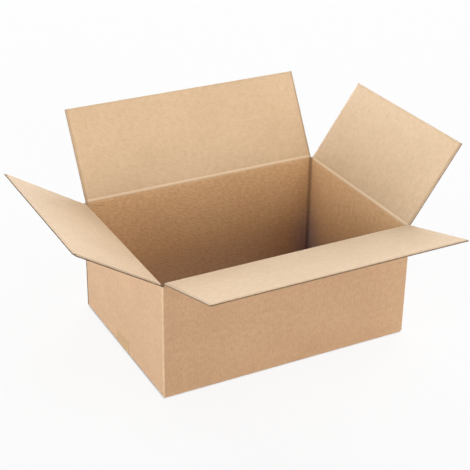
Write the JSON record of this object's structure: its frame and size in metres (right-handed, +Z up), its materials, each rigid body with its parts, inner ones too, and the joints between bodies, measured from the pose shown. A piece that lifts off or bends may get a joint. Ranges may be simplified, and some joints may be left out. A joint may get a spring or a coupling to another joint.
{
  "type": "open cardboard box",
  "caption": "Open slotted box of corrugated board with hinged top flaps, a taped bottom and an empty interior for packing.",
  "frame": {"origin": "middle of the underside, on the tape along the bottom seam", "axes": "+X along the long side, +Y from the front wall to the back wall, +Z up through the open top"},
  "size_m": [0.6489, 0.529, 0.3296],
  "materials": {
    "kraft_board": "matt brown kraft liner with a faint fibre grain",
    "clear_tape": "glossy clear packing tape"
  },
  "bodies": {
    "carton": {"carton_body": "kraft_board", "bottom_tape": "clear_tape"},
    "back": {"back_flap": "kraft_board"},
    "front": {"front_flap": "kraft_board"},
    "right": {"right_flap": "kraft_board"},
    "left": {"left_flap": "kraft_board"}
  },
  "joints": [
    {"name": "back_crease", "type": "hinge", "parent": "carton", "child": "back", "pos_m": [0, 0.1531, 0.196], "axis": [-1, 0, 0], "range_deg": [-120, 145]},
    {"name": "front_crease", "type": "hinge", "parent": "carton", "child": "front", "pos_m": [0, -0.1531, 0.196], "axis": [1, 0, 0], "range_deg": [-164, 101]},
    {"name": "right_crease", "type": "hinge", "parent": "carton", "child": "right", "pos_m": [0.2161, 0, 0.1927], "axis": [0, 1, 0], "range_deg": [-125, 140]},
    {"name": "left_crease", "type": "hinge", "parent": "carton", "child": "left", "pos_m": [-0.2161, -0.0015, 0.1927], "axis": [0, -1, 0], "range_deg": [-148, 117]}
  ]
}
